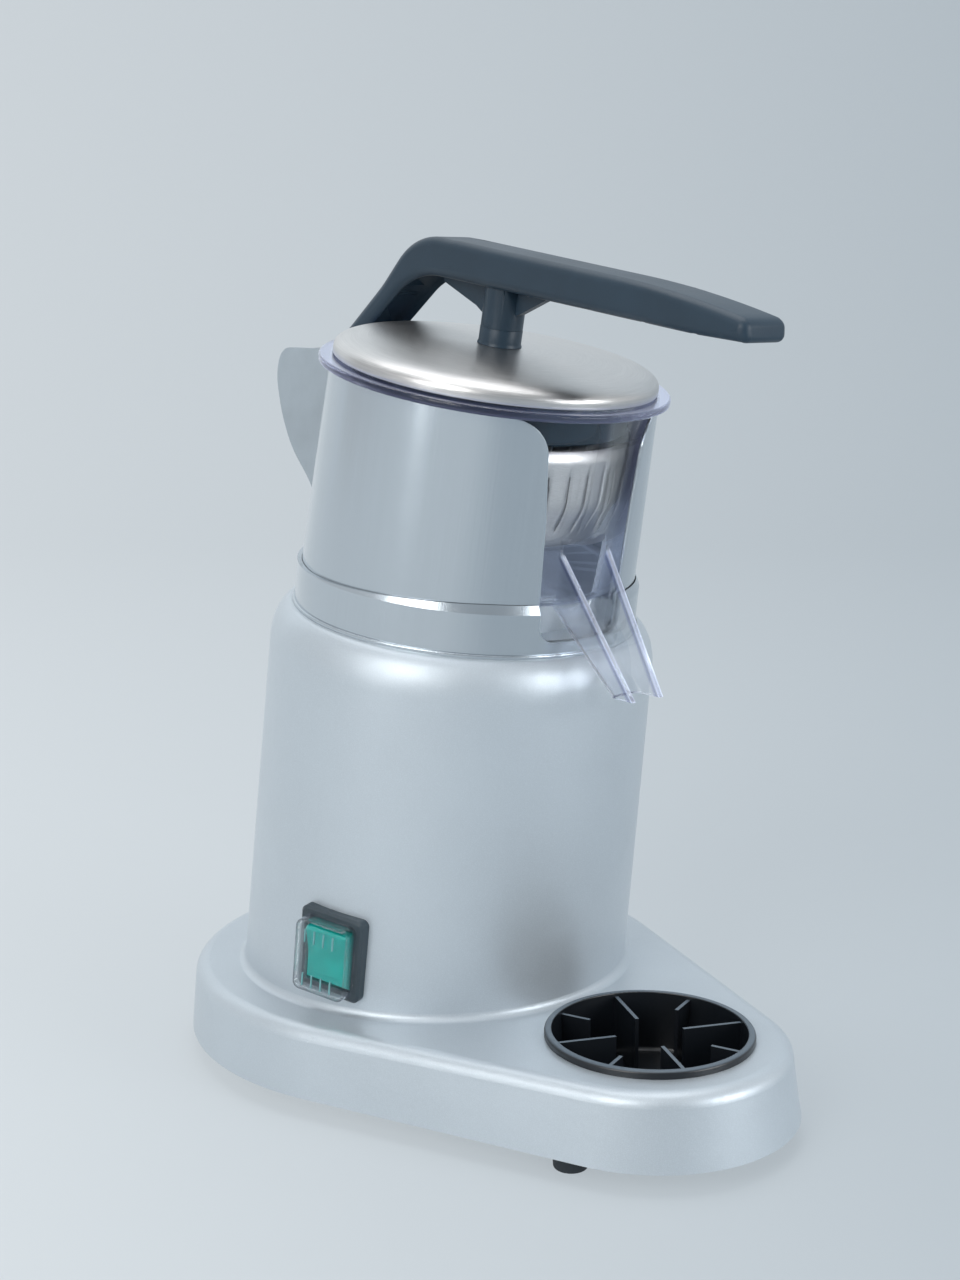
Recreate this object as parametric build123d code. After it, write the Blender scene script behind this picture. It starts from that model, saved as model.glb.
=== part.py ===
from build123d import *
from math import asin, atan2, cos, degrees, radians, sin, sqrt
import os

os.makedirs("parts", exist_ok=True)

# Lever citrus press, in millimetres. Z is up, the spout points along -Y, the floor is Z = 0.

# base in plan: two circles joined by tangents
rear_r = 106.0
tip_r = 60.0
base_centres = 131.0
rear_y = base_centres / 2 + tip_r / 2 - rear_r / 2
tip_y = rear_y - base_centres
foot_h = 9.0
base_top = 37.8
base_draft_rear = 2.4
base_draft_tip = 4.5
base_round = 6.0
casting_wall = 4.0
plate_t = 2.0

# leaning body, measured along its own axis from the top of the base
body_lean = 7.5
body_foot_r = 83.1
body_taper = 0.0194
deck_h = 157.0
shoulder_drop = 16.0
shoulder_start = deck_h - shoulder_drop
body_blend = 3.0

# collar and the head above it, which leans further than the body
guard_foot_r = 69.15
guard_wall = 1.2
collar_bore_r = guard_foot_r + 0.85
collar_r = collar_bore_r + 1.2
shoulder_r = collar_r + 1.2
head_rise = 17.6
head_pos_h = deck_h + head_rise
head_lean = 11.5
collar_top = head_pos_h - 0.2
bevel_mid = head_pos_h + 0.7
bevel_rise = 3.2
neck_play = 0.55
neck_r = guard_foot_r - guard_wall - neck_play
ledge_r = guard_foot_r - neck_play
neck_low = -head_rise - 8.4
ledge_h = -6.0
seat_h = 4.0
notch_half = 22.0
notch_floor = head_pos_h - 11.6
notch_corner = 7.0

# splash guard
guard_top_r = 66.7
guard_top_h = 79.6
opening_half = 21.2

# bowl and spout
bowl_r = guard_top_r - guard_wall - 0.7
bowl_wall = 1.8
flange_r = bowl_r + 6.4
flange_low = guard_top_h + 0.3
flange_top = flange_low + 3.1
hub_tube_r = 15.5
hub_bore_r = 10.9
hub_shoulder_h = 22.0
hub_tube_h = hub_shoulder_h + 4.0
hub_seat = 13.0
spout_wall = 1.8
spout_corner = 4.0

# lid and press cup
lid_r = bowl_r + 0.9
lid_low = flange_top + 0.6
lid_rim_top = lid_low + 8.0
lid_top = lid_rim_top + 2.4
lid_sheet = 1.2
cup_low = lid_low - 16.8
bolt_seat = lid_top - 10.0

# strainer and reamer
strainer_play = 5.2
strainer_r = bowl_r - bowl_wall - strainer_play
strainer_wall = 0.9
strainer_rim_h = cup_low - 0.8
strainer_floor_h = hub_shoulder_h + 2.0
strainer_bend_h = strainer_floor_h + 18.0
strainer_slots = 40
cup_low_r = strainer_r - 2.6
cup_top_r = strainer_r - 0.8
reamer_r = 34.0
reamer_low = hub_tube_h + 2.5
reamer_top = cup_low + 1.2
reamer_ribs = 10

# lever and its hinge, set from the head so that the lever meets the lid
hinge_back = 87.58731
hinge_up = guard_top_h - 16.70575
pin_r = 4.0
pin_play = 0.05
lever_half = 12.0
lever_wall = 2.6
lever_end_r = 10.6
lever_round = 4.0
post_r = 8.5
post_low = lid_top + 7.0
post_bore_r = 3.9
washer_t = 1.2
ear_t = 4.0

# drive, measured along the head axis
shaft_r = 6.0
shaft_play = 0.04
motor_r = 48.0
shield_t = 4.0
stack_length = 55.0
coil_end = 20.0
motor_top = neck_low - shield_t
stack_top = motor_top - coil_end
stack_low = stack_top - stack_length
motor_low = stack_low - coil_end
bearing_r = 16.0
bolt_ring_r = motor_r + 5.0
drive_pin_h = reamer_low + 7.5
shaft_top = drive_pin_h + 8.0

# switch on the left of the body
switch_turn = 71.5
switch_h = 29.5
bezel_w = 29.6
bezel_h = 35.4
bezel_proud = 3.4
rocker_tilt = 7.0

# drip cup in the tip of the base
cup_y = tip_y - 0.5
cup_hole_r = 40.0
cup_ring_r = cup_hole_r + 1.3
cup_mouth_r = cup_hole_r - 1.6
cup_body_r = cup_hole_r - 0.4
cup_ring_h = 3.0
cup_depth = base_top - foot_h - plate_t - 2.8

# small hardware
foot_r = 7.2
gland_h = 17.0
bolt_r = 2.5

body_frame = Plane(
    origin=(0, rear_y - 1.5, base_top),
    x_dir=(1, 0, 0),
    z_dir=(0, -sin(radians(body_lean)), cos(radians(body_lean))),
)
head_origin = body_frame.from_local_coords(Vector(0, 0, head_pos_h))
head_frame = Plane(
    origin=head_origin,
    x_dir=(1, 0, 0),
    z_dir=(0, -sin(radians(head_lean)), cos(radians(head_lean))),
)
hinge_origin = head_frame.from_local_coords(Vector(0, hinge_back, hinge_up))


def body_r(h):
    return body_foot_r - body_taper * h


def guard_r(h):
    share = (h - ledge_h) / (guard_top_h - ledge_h)
    return guard_foot_r + (guard_top_r - guard_foot_r) * share


def in_body(shape):
    return body_frame.location * shape


def in_head(shape):
    return head_frame.location * shape


# solid of revolution from (radius, height) points, with one rounding radius per corner
def turned(points, radii=0):
    corners = [(r, 0, h) for r, h in points]
    outline = FilletPolyline(*corners, radius=radii, close=True)
    return revolve(make_face(outline), Axis.Z)


def disc(r, low, high, x=0.0, y=0.0):
    return Pos(x, y, low) * Cylinder(r, high - low, align=(Align.CENTER, Align.CENTER, Align.MIN))


def pipe(outer_r, bore_r, low, high):
    return disc(outer_r, low, high) - disc(bore_r, low - 1, high + 1)


def block(x0, x1, y0, y1, z0, z1):
    size = Box(x1 - x0, y1 - y0, z1 - z0, align=Align.MIN)
    return Pos(x0, y0, z0) * size


def around(shape, count, start=0.0):
    return [Rot(0, 0, start + 360 * i / count) * shape for i in range(count)]


# plate cut from a side outline of (y, z) points, centred on x = 0
def side_plate(points, half, radii=0):
    corners = [(0, y, z) for y, z in points]
    outline = FilletPolyline(*corners, radius=radii, close=True)
    return extrude(make_face(outline), amount=half, dir=(1, 0, 0), both=True)


# screw along +Z with its head below z = 0 and a hexagon socket in the head
def socket_screw(shank_r, length, head_r, head_h):
    head = disc(head_r, -head_h, 0)
    head = chamfer(head.edges().group_by(Axis.Z)[0], 0.4)
    socket = Pos(0, 0, -head_h) * extrude(RegularPolygon(head_r * 0.52, 6), head_h * 0.55)
    return head + disc(shank_r, 0, length) - socket


# stand

# outline of the base at one height
def teardrop(back, front, z):
    lean = asin((back - front) / base_centres)
    bx, by = back * cos(lean), rear_y - back * sin(lean)
    tx, ty = front * cos(lean), tip_y - front * sin(lean)
    edges = [
        ThreePointArc((bx, by, z), (0, rear_y + back, z), (-bx, by, z)),
        Line((-bx, by, z), (-tx, ty, z)),
        ThreePointArc((-tx, ty, z), (0, tip_y - front, z), (tx, ty, z)),
        Line((tx, ty, z), (bx, by, z)),
    ]
    return make_face(edges)


def teardrop_block(inset, low, high):
    foot = teardrop(rear_r - inset, tip_r - inset, low)
    crown = teardrop(rear_r - base_draft_rear - inset, tip_r - base_draft_tip - inset, high)
    return loft([foot, crown], ruled=True)


# outer form of the leaning body, with an elliptical shoulder
def body_form(low):
    side_low = (body_r(low), 0, low)
    side_high = (body_r(shoulder_start), 0, shoulder_start)
    rise = deck_h - shoulder_start
    width = side_high[0] - shoulder_r
    pull = 0.5523
    shoulder = Bezier(
        side_high,
        (side_high[0], 0, shoulder_start + rise * pull),
        (shoulder_r + width * (1 - pull) * 0.9, 0, deck_h),
        (shoulder_r, 0, deck_h),
    )
    edges = [
        Line((0, 0, low), side_low),
        Line(side_low, side_high),
        shoulder,
        Line((shoulder_r, 0, deck_h), (0, 0, deck_h)),
        Line((0, 0, deck_h), (0, 0, low)),
    ]
    return revolve(make_face(edges), Axis.Z)


def body_hollow():
    points = [
        (0, -20),
        (body_r(-20) - casting_wall, -20),
        (body_r(shoulder_start) - casting_wall, shoulder_start),
        (shoulder_r - 6.4, deck_h - casting_wall - 0.5),
        (0, deck_h - casting_wall - 0.5),
    ]
    return turned(points, [0, 0, 6, 3, 0])


def neck_form():
    points = [
        (0, neck_low),
        (ledge_r, neck_low),
        (ledge_r, ledge_h),
        (neck_r, ledge_h),
        (neck_r, seat_h),
        (hub_bore_r - 0.3, seat_h),
        (hub_bore_r - 0.3, seal_top),
        (0, seal_top),
    ]
    return turned(points)


# feet: two beside the drip cup, two on a circle inside the rear end
foot_ring_r = rear_r - 12.277
foot_ring_turn = atan2(60, 72)
foot_x, foot_y = foot_ring_r * cos(foot_ring_turn), rear_y + foot_ring_r * sin(foot_ring_turn)
foot_spots = [(13 - tip_r, tip_y - 5), (tip_r - 13, tip_y - 5), (-foot_x, foot_y), (foot_x, foot_y)]
seal_low, seal_top = seat_h + 8.0, seat_h + 14.0


# gap in the front of collar and neck that the spout passes through
def spout_notch():
    shape = RectangleRounded(2 * notch_half, 40, notch_corner)
    cut = extrude(Plane.XZ * shape, amount=30)
    return Pos(0, -57, notch_floor + 20) * cut


def switch_place():
    turn = radians(switch_turn)
    r = body_r(switch_h)
    plane = Plane(
        origin=(-r * sin(turn), -r * cos(turn), switch_h),
        x_dir=(cos(turn), -sin(turn), 0),
        z_dir=(-sin(turn), -cos(turn), 0),
    )
    return body_frame.location * plane.location


def bracket_screw_spots():
    return [(-22.0, deck_h + 9.0), (22.0, deck_h + 9.0)]


# cylinder along the body's own front-to-rear direction
def body_bore(r, x, h, y0, y1):
    rod = Cylinder(r, y1 - y0, rotation=(-90, 0, 0), align=(Align.CENTER, Align.CENTER, Align.MIN))
    return in_body(Pos(x, y0, h) * rod)


def base_casting():
    base = teardrop_block(0, foot_h, base_top)
    base = fillet(base.edges().group_by(Axis.Z)[-1], base_round)
    casting = base + in_body(body_form(-12))
    ring = []
    for edge in casting.edges():
        box = edge.bounding_box()
        if abs(box.min.Z - base_top) < 0.05 and box.size.Z < 0.1 and box.size.X < 180 and box.size.X > 60:
            if box.min.Y > rear_y - 90:
                ring.append(edge)
    casting = fillet(ring, body_blend)
    neck = in_head(neck_form())
    casting = casting + neck
    casting -= teardrop_block(casting_wall, foot_h - 1, base_top - casting_wall)
    casting -= in_body(body_hollow())
    casting -= in_head(disc(60, motor_top - 12, 0))
    notch_back = block(-notch_half - 5, notch_half + 5, -67, -51, deck_h - 3, head_pos_h + 3.4)
    pocket = in_body(notch_back) & (in_body(body_form(0)) + neck)
    casting += pocket & in_head(disc(64, motor_top, 2))
    for x, y in foot_spots:
        casting += disc(6, foot_h + plate_t, base_top - 2, x, y)
        casting -= disc(1.9, foot_h, base_top - 9.8, x, y)
    for boss in around(disc(8, neck_low, 2, bolt_ring_r), 4, 45):
        casting += in_head(boss)
    for hole in around(disc(bolt_r, neck_low - 1, neck_low + 18, bolt_ring_r), 4, 45):
        casting -= in_head(hole)
    casting += in_head(pipe(14, 8.2, -4, 1))
    casting -= in_head(disc(8.2, -5, seal_low))
    casting -= in_head(disc(9, seal_low, seal_top + 1))
    for x, h in bracket_screw_spots():
        casting += body_bore(5.5, x, h, 52, 63)
        casting -= body_bore(2.0, x, h, 54, 75)
    casting -= in_body(spout_notch())
    casting -= disc(cup_hole_r, 20, 60, 0, cup_y)
    casting -= switch_place() * block(-13.5, 13.5, -16.4, 16.4, -12, 5)
    casting -= body_bore(6.2, 0, gland_h, 70, 95)
    return casting


def collar():
    points = [
        (60, deck_h),
        (collar_r + 1.0, deck_h),
        (collar_r + 1.0, deck_h + 1.5),
        (collar_r, deck_h + 1.5),
        (collar_r, collar_top),
        (60, collar_top),
    ]
    ring = turned(points, [0, 0, 0.6, 0, 0, 0])
    lip_r, lip_h = collar_r - 2.1, collar_top + 4.6
    cone = turned([(60, collar_top), (collar_r, collar_top), (lip_r, lip_h), (60, lip_h)])
    tilt = degrees(atan2(bevel_rise, guard_foot_r))
    above = Pos(0, 0, bevel_mid) * Rot(-tilt, 0, 0) * block(-90, 90, -90, 90, 0, 30)
    ring = ring + (cone - above)
    ring -= disc(collar_bore_r, deck_h - 1, collar_top - 6.4)
    ring = in_body(ring) - in_head(disc(guard_foot_r + 0.1, -14, 30))
    ring -= in_body(disc(60.5, deck_h - 1, deck_h + 43))
    ring -= in_body(spout_notch())
    for x, h in bracket_screw_spots():
        ring -= body_bore(2.7, x, h, 55, 80)
    return ring


# front opening of the guard, widening upward and rounded where it meets the top edge
def guard_opening():
    wide, corner_h = opening_half + 4.0, guard_top_h - 11.1
    right = [(opening_half, -12), (opening_half, 8), (opening_half + 1.7, 42), (wide, corner_h)]
    end, above = wide + 11.2, guard_top_h + 15.4
    edges = [Line((right[i][0], 0, right[i][1]), (right[i + 1][0], 0, right[i + 1][1])) for i in range(3)]
    edges.append(ThreePointArc((wide, 0, corner_h), (wide + 3.3, 0, corner_h + 8.1), (end, 0, guard_top_h + 0.6)))
    edges.append(Line((end, 0, guard_top_h + 0.6), (end, 0, above)))
    edges.append(Line((end, 0, above), (0, 0, above)))
    edges.append(Line((0, 0, above), (0, 0, -12)))
    edges.append(Line((0, 0, -12), (opening_half, 0, -12)))
    half = extrude(make_face(edges), amount=90, dir=(0, -1, 0))
    return half + mirror(half, Plane.YZ)


def splash_guard():
    points = [
        (guard_foot_r - guard_wall, ledge_h),
        (guard_foot_r, ledge_h),
        (guard_top_r, guard_top_h),
        (guard_top_r - guard_wall, guard_top_h),
    ]
    return in_head(turned(points) - guard_opening())


# corner points of the spout section, t = 0 inside the bowl and t = 1 at the lip
def spout_section(t, inset, lift):
    low_a, low_b = Vector(11.5, -56.2, 7.0), Vector(8.0, -95.9, -20.4)
    top_a, top_b = Vector(14.2, -56.2, 35.9), Vector(8.5, -109.0, -18.0)
    low = low_a + (low_b - low_a) * t
    top = top_a + (top_b - top_a) * t
    up = Vector(0, top.Y - low.Y, top.Z - low.Z)
    rise = up.length
    plane = Plane(origin=(0, low.Y, low.Z), x_dir=(1, 0, 0), z_dir=Vector(1, 0, 0).cross(up))
    w0, w1 = low.X - inset, top.X - inset
    outline = FilletPolyline(
        (-w0, inset),
        (w0, inset),
        (w1, rise + lift),
        (-w1, rise + lift),
        radius=[spout_corner - inset, spout_corner - inset, 0, 0],
        close=True,
    )
    return plane.location * make_face(outline)


def spout_core():
    return loft([spout_section(-0.12, spout_wall, 3.0), spout_section(1.06, spout_wall, 3.0)], ruled=True)


# clear bowl: floor, wall, rim flange, tube round the spindle and the tapering spout
def bowl():
    shell = [
        (hub_bore_r, seat_h),
        (bowl_r, seat_h),
        (bowl_r, flange_low),
        (flange_r, flange_low),
        (flange_r, flange_top),
        (bowl_r - bowl_wall, flange_top),
        (bowl_r - bowl_wall, seat_h + 2.2),
        (hub_tube_r, seat_h + 2.2),
        (hub_tube_r, hub_shoulder_h),
        (hub_seat, hub_shoulder_h),
        (hub_seat, hub_tube_h),
        (hub_bore_r, hub_tube_h),
    ]
    shape = turned(shell, [0, 6, 0.6, 0.9, 1.2, 0.4, 4.2, 2, 0, 0, 0, 0])
    spout = loft([spout_section(0, 0, 0), spout_section(1, 0, 0)], ruled=True)
    spout -= disc(bowl_r - bowl_wall, -10, 90)
    shape = shape + spout
    return in_head(shape - spout_core())


def strainer():
    s = strainer_wall
    points = [
        (hub_seat + 0.3, strainer_floor_h - 2.0),
        (20, strainer_floor_h - 2.0),
        (43, strainer_floor_h + 2.0),
        (strainer_r, strainer_bend_h),
        (strainer_r, strainer_rim_h),
        (strainer_r - s, strainer_rim_h),
        (strainer_r - s, strainer_bend_h + 0.4),
        (42.6, strainer_floor_h + 3.0),
        (19.8, strainer_floor_h - 1.0),
        (hub_seat + 0.3, strainer_floor_h - 1.0),
    ]
    basket = turned(points, [0, 4, 6, 5, 0.3, 0.3, 4.2, 5, 3, 0])
    wall_slot = block(strainer_r - 7.8, strainer_r + 4.2, -0.45, 0.45, strainer_bend_h + 3, strainer_rim_h - 8)
    floor_slot = block(24, 40, -0.6, 0.6, strainer_floor_h - 9, strainer_floor_h + 6)
    cone_slot = block(45, strainer_r - 3.8, -0.5, 0.5, strainer_floor_h - 4, strainer_bend_h + 2)
    cutters = around(wall_slot, strainer_slots)
    cutters += around(floor_slot, strainer_slots // 2)
    cutters += around(cone_slot, strainer_slots, 360 / strainer_slots / 2)
    return in_head(basket - cutters)


def base_plate():
    plate = teardrop_block(casting_wall + 0.3, foot_h, foot_h + plate_t)
    for x, y in foot_spots:
        plate -= disc(2.3, 0, 20, x, y)
    for i in range(7):
        slot = extrude(SlotOverall(50 - abs(i - 3) * 6, 4), 10)
        plate -= Pos(0, rear_y - 36 + i * 12, foot_h - 2) * slot
    return plate


def rubber_feet():
    foot = turned([(0, 0), (foot_r - 0.6, 0), (foot_r, foot_h), (0, foot_h)], [0, 1.0, 0, 0])
    foot -= disc(4.3, -1, foot_h - 4)
    foot -= disc(2.3, -1, foot_h + 3)
    return Compound(children=[Pos(x, y, 0) * foot for x, y in foot_spots])


def foot_screws():
    screw = Pos(0, 0, foot_h - 4) * socket_screw(1.85, 20, 3.8, 2.6)
    return Compound(children=[Pos(x, y, 0) * screw for x, y in foot_spots])


# switch and cord entry

rocker_pivot_z = -2.0


def switch_housing():
    flange = extrude(RectangleRounded(bezel_w, bezel_h, 3.0), bezel_proud + 4)
    flange = chamfer(flange.edges().group_by(Axis.Z)[-1], 1.0)
    flange = switch_place() * (Pos(0, 0, -4) * flange) - in_body(body_form(0))
    insert = switch_place() * block(-13.2, 13.2, -16.1, 16.1, -22, 0.5)
    housing = flange + insert
    housing -= switch_place() * block(-11.8, 11.8, -14.6, 14.6, -20.4, -3.4)
    housing -= switch_place() * block(-10.2, 10.2, -13.3, 13.3, -5, 10)
    axle = Cylinder(1.56, 22.4, rotation=(0, 90, 0))
    housing -= switch_place() * (Pos(0, 0, rocker_pivot_z) * axle)
    for y in (-8, 0, 8):
        housing += switch_place() * block(-3.2, 3.2, y - 0.4, y + 0.4, -30, -21)
    return housing


def switch_rocker():
    points = [(-12, 5.4), (0, 3.9), (12, 5.4), (10.6, -2), (3.0, -7.5), (-3.0, -7.5), (-10.6, -2)]
    body = side_plate(points, 9.6, [1.2, 20, 1.2, 2, 1, 1, 2])
    body = body + Pos(0, 0, rocker_pivot_z) * Cylinder(1.5, 21.6, rotation=(0, 90, 0))
    pivot = Pos(0, 0, rocker_pivot_z)
    return switch_place() * (pivot * Rot(rocker_tilt, 0, 0) * pivot.inverse() * body)


def switch_cover():
    outer = extrude(RectangleRounded(24.4, 30.6, 3.4), 8.0)
    outer = fillet(outer.edges().group_by(Axis.Z)[-1], 2.0)
    inner = extrude(RectangleRounded(22.4, 28.6, 2.4), 7.0)
    inner = fillet(inner.edges().group_by(Axis.Z)[-1], 1.2)
    return switch_place() * (Pos(0, 0, bezel_proud) * (outer - inner))


def cord_gland():
    r = body_r(gland_h)
    body = disc(6.0, -10, 0) + extrude(RegularPolygon(10.0, 6), 3.5)
    body += turned([(0, 3), (8.6, 3), (8.6, 7), (6.2, 11.5), (0, 11.5)], [0, 0, 2, 1, 0])
    body -= disc(3.6, -11, 13)
    face = Plane(origin=(0, r + 0.4, gland_h), x_dir=(1, 0, 0), z_dir=(0, 1, 0))
    return body_frame.location * face.location * body


def gland_nut():
    r = body_r(gland_h)
    nut = extrude(RegularPolygon(10.0, 6), 4) - disc(6.0, -1, 5)
    face = Plane(origin=(0, r - 8.65, gland_h), x_dir=(1, 0, 0), z_dir=(0, 1, 0))
    return body_frame.location * face.location * nut


# motor

slot_count = 12
slot_cut = (31.0, 42.0, 2.6)


def motor_stator():
    core = pipe(motor_r, 27.0, stack_low, stack_top)
    r0, r1, half = slot_cut
    slot = block(r0, r1, -half, half, stack_low - 1, stack_top + 1)
    mouth = block(25, r0 + 1, -1.0, 1.0, stack_low - 1, stack_top + 1)
    return in_head(core - around(slot, slot_count) - around(mouth, slot_count))


def motor_windings():
    r0, r1, half = slot_cut
    under, over = stack_low - 12, stack_top + 12
    low = turned([(r0, under), (r1, under), (r1, stack_low), (r0, stack_low)], [3, 3, 0, 0])
    high = turned([(r0, stack_top), (r1, stack_top), (r1, over), (r0, over)], [0, 0, 3, 3])
    bar = block(r0 + 0.4, r1 - 0.4, -half + 0.3, half - 0.3, stack_low - 1, stack_top + 1)
    coils = low + high
    for piece in around(bar, slot_count):
        coils += piece
    return in_head(coils)


# end shield of the motor, drawn with its plate up; ears carry the through bolts
def end_shield(plate_low, plate_high, skirt_end, seat_low, seat_high):
    low, high = min(plate_low, skirt_end), max(plate_high, skirt_end)
    shield = pipe(motor_r, motor_r - 3.5, low, high)
    shield += disc(motor_r, plate_low, plate_high)
    shield += disc(19.5, min(seat_low, plate_low), max(seat_high, plate_high))
    for ear in around(disc(7.5, plate_low, plate_high, bolt_ring_r), 4, 45):
        shield += ear
    for hole in around(disc(bolt_r + 0.2, plate_low - 1, plate_high + 1, bolt_ring_r), 4, 45):
        shield -= hole
    for vent in around(disc(4.5, plate_low - 1, plate_high + 1, 31), 8, 22.5):
        shield -= vent
    shield -= disc(bearing_r, seat_low, seat_high)
    shield -= disc(9.0, low - 2, high + 2)
    return shield


def upper_end_shield():
    return in_head(end_shield(motor_top, neck_low, stack_top, motor_top - 12, motor_top - 2))


def lower_end_shield():
    return in_head(end_shield(motor_low, motor_low + shield_t, stack_low, motor_low + 2, motor_low + 12))


def bearing(low, high):
    ring = pipe(bearing_r, shaft_r + shaft_play, low, high)
    groove = pipe(13.2, 9.0, high - 0.8, high + 1) + pipe(13.2, 9.0, low - 1, low + 0.8)
    return in_head(ring - groove)


def motor_screws():
    screw = socket_screw(bolt_r, neck_low - motor_low + 16, 4.3, 4)
    return Compound(children=[in_head(s) for s in around(Pos(bolt_ring_r, 0, motor_low) * screw, 4, 45)])


def motor_rotor():
    core = pipe(26.4, shaft_r, stack_low, stack_top)
    core += pipe(24.0, 16.0, stack_low - 5, stack_low)
    core += pipe(24.0, 16.0, stack_top, stack_top + 5)
    fins = around(block(17, 24, -0.8, 0.8, stack_top + 4, stack_top + 8), 10)
    for fin in fins:
        core += fin
    return in_head(core)


def motor_shaft():
    shaft = disc(shaft_r, motor_low - 17, shaft_top)
    shaft = chamfer(shaft.edges(), 0.8)
    shaft -= Pos(0, 0, drive_pin_h) * Cylinder(2.0, 30, rotation=(0, 90, 0))
    return in_head(shaft)


def cooling_fan():
    fan = pipe(10, shaft_r, motor_low - 16, motor_low - 4)
    blade = block(9, 38, -0.8, 0.8, motor_low - 15, motor_low - 5)
    for piece in around(blade, 9):
        fan += piece
    fan += pipe(38, 9.5, motor_low - 5, motor_low - 3.5)
    return in_head(fan)


def drive_pin():
    return in_head(Pos(0, 0, drive_pin_h) * Cylinder(2.0, 19, rotation=(0, 90, 0)))


def shaft_seal():
    points = [
        (shaft_r + shaft_play, seal_low + 0.5),
        (9.0, seal_low),
        (9.0, seal_top),
        (7.6, seal_top),
        (shaft_r + shaft_play, seal_low + 3.5),
    ]
    return in_head(turned(points))


# ribbed cone that the fruit is pressed onto, hollow round the bowl's tube
def reamer():
    core = [
        (0, reamer_low + 3.0),
        (reamer_r + 1.5, reamer_low),
        (reamer_r + 1.5, reamer_low + 2.2),
        (26, reamer_low + 8),
        (17, reamer_top - 16),
        (6, reamer_top - 3.5),
        (0, reamer_top - 2),
    ]
    shape = turned(core, [0, 0, 1.0, 8, 20, 4, 0])
    rib_line = Spline(
        (reamer_r, 0, reamer_low + 4),
        (reamer_r - 2.5, 0, reamer_low + 12),
        (24, 0, reamer_top - 14),
        (11, 0, reamer_top - 4.5),
        (0, 0, reamer_top),
    )
    skirt = reamer_low + 2
    rib_foot = Polyline((0, 0, reamer_top), (0, 0, skirt + 0.5), (reamer_r, 0, skirt), (reamer_r, 0, reamer_low + 4))
    rib_face = make_face([rib_line, *rib_foot.edges()])
    rib = extrude(rib_face, amount=1.5, dir=(0, 1, 0), both=True)
    for piece in around(rib, reamer_ribs):
        shape += piece
    shape -= disc(hub_seat + 1.2, 20, hub_tube_h + 6)
    shape -= disc(shaft_r + shaft_play, 20, shaft_top + 0.5)
    shape -= block(-10.2, 10.2, -2.15, 2.15, 20, drive_pin_h + 2.2)
    return in_head(shape)


def run_capacitor():
    can = Cylinder(15, 56, rotation=(0, 90, 0))
    can = chamfer(can.edges(), 1.0)
    can += Pos(30, 0, 5) * Box(6, 1, 5)
    can += Pos(30, 0, -5) * Box(6, 1, 5)
    return Pos(0, rear_y + 48, foot_h + plate_t + 16.5) * can


def capacitor_clip():
    place = Pos(0, rear_y + 48, foot_h + plate_t + 16.5)
    strap = Cylinder(16.2, 14, rotation=(0, 90, 0)) + block(-7, 7, -16.2, 16.2, -16.5, 0)
    strap += block(-7, 7, -25, 25, -16.5, -15)
    strap -= Cylinder(15, 16, rotation=(0, 90, 0))
    return place * strap


# hinge

hinge_spot = Pos(0, hinge_origin.Y, hinge_origin.Z)


def along_x(r, x0, x1):
    rod = Cylinder(r, x1 - x0, rotation=(0, 90, 0), align=(Align.CENTER, Align.CENTER, Align.MIN))
    return Pos(x0, 0, 0) * rod


pad_back = collar_r + 2.3
ear_in = lever_half + washer_t
ear_out = ear_in + ear_t

# side outline of the bracket round the hinge, as (y, z) from the hinge axis
bracket_side = [
    (-13.0, 9.3),
    (33.4, 9.3),
    (37.4, -3.0),
    (34.0, -20.0),
    (27.0, -34.5),
    (13.5, -49.0),
    (7.0, -62.0),
    (5.5, -guard_top_h - 6.4),
    (-20.0, -guard_top_h - 6.4),
    (-20.0, -5.0),
]
bracket_rounding = [2, 9, 20, 60, 40, 30, 20, 2, 0, 0]

bracket_inside = [
    (-16.5, 30.0),
    (30.0, 30.0),
    (30.0, 6.0),
    (33.3, -3.6),
    (30.1, -18.7),
    (23.5, -32.2),
    (10.0, -46.6),
    (4.0, -50.0),
    (-3.5, -50.0),
    (-14.0, -5.0),
]
inside_rounding = [0, 0, 5, 16, 50, 36, 5, 3, 3, 0]


def hinge_bracket():
    hood = hinge_spot * side_plate(bracket_side, ear_out, bracket_rounding)
    hood -= hinge_spot * side_plate(bracket_inside, ear_in, inside_rounding)
    pad = in_body(block(-28, 28, 60, pad_back, deck_h, collar_top - 0.8))
    bracket = hood + pad
    bracket -= in_body(disc(collar_r, deck_h - 7, collar_top + 0.3))
    bracket -= in_body(disc(150, deck_h - 27, deck_h + 2.0))
    under, over = ledge_h - 1, guard_top_h + 10.4
    cone = turned([(0, under), (guard_r(under) + 0.5, under), (guard_r(over) + 0.5, over), (0, over)])
    bracket -= in_head(cone)
    bracket -= hinge_spot * along_x(pin_r, -ear_out + 1.4, ear_out + 2)
    bracket -= hinge_spot * along_x(6.5, ear_out - 1.2, ear_out + 2)
    for x, h in bracket_screw_spots():
        bracket -= body_bore(2.7, x, h, 60, 90)
    return bracket


def bracket_screws():
    screw = Rot(90, 0, 0) * socket_screw(2.4 - 0.45, 17.5, 4.2, 3.2)
    spots = bracket_screw_spots()
    return Compound(children=[in_body(Pos(x, pad_back, h) * screw) for x, h in spots])


def hinge_pin():
    pin = along_x(pin_r, -ear_out + 1.4, ear_out - 1.2)
    return hinge_spot * chamfer(pin.edges(), 0.5)


def pin_plug():
    plug = along_x(6.5, ear_out - 1.2, ear_out + 0.8)
    return hinge_spot * fillet(plug.edges().group_by(Axis.X)[-1], 0.7)


def hinge_washers():
    washer = along_x(8.5, lever_half, ear_in) - along_x(pin_r + pin_play, 0, 20)
    return Compound(children=[hinge_spot * washer, hinge_spot * mirror(washer, Plane.YZ)])


# lever and lid

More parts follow.
